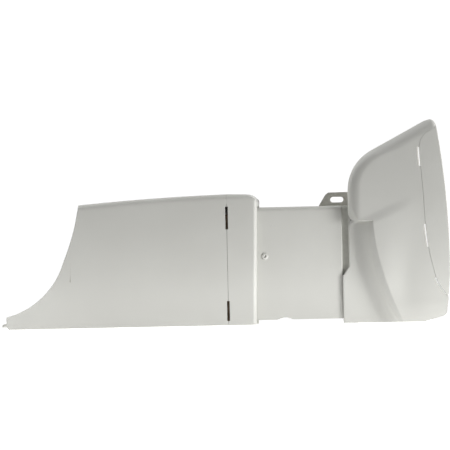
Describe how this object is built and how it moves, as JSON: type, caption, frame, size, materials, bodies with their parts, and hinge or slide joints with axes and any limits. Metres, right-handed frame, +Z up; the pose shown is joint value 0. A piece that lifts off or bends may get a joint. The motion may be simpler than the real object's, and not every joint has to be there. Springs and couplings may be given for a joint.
{
  "type": "cowl vent",
  "caption": "Telescoping rectangular cowl ventilator with a scribed trunk, a sliding duct and a flared hood with an open mouth.",
  "frame": {"origin": "middle of the footprint on the mounting plane, at the bottom centre of the bounding box", "axes": "+X from the scribed trunk end to the hood's mouth, +Y across, +Z up from the mounting plane"},
  "size_m": [0.5388, 0.1796, 0.2431],
  "materials": {
    "shell_plastic": "satin off-white moulded plastic",
    "inner_plastic": "grey moulded plastic",
    "dark_plastic": "dark moulded plastic",
    "glide_plastic": "waxy low-friction plastic",
    "felt": "brown pressed felt",
    "foam_seal": "grey closed-cell foam",
    "steel": "stainless steel",
    "cast_zinc": "grey grained paint",
    "screen_mesh": "woven wire mesh"
  },
  "bodies": {
    "trunk": {"trunk_cover": "shell_plastic", "trunk_collar": "shell_plastic", "trunk_base": "shell_plastic", "locating_tongues": "shell_plastic", "guide_rails": "inner_plastic", "felt_wiper": "felt", "wiper_retainer": "dark_plastic", "base_screws": "steel"},
    "duct": {"slide_duct": "shell_plastic", "duct_base": "shell_plastic", "glide_shoes": "glide_plastic", "stop_blocks": "inner_plastic", "spacer_tube": "steel", "side_rivets": "shell_plastic", "lug_bracket": "cast_zinc", "lug_rivets": "steel", "neck_gasket": "foam_seal", "neck_ring": "inner_plastic", "neck_screws": "steel", "cowl_head": "shell_plastic", "head_base": "shell_plastic", "mouth_bezel": "shell_plastic", "screen_frame": "inner_plastic", "insect_screen": "screen_mesh"}
  },
  "joints": [
    {"name": "duct_slide", "type": "slide", "parent": "trunk", "child": "duct", "axis": [1, 0, 0], "range_m": [-0.005, 0.084]}
  ]
}
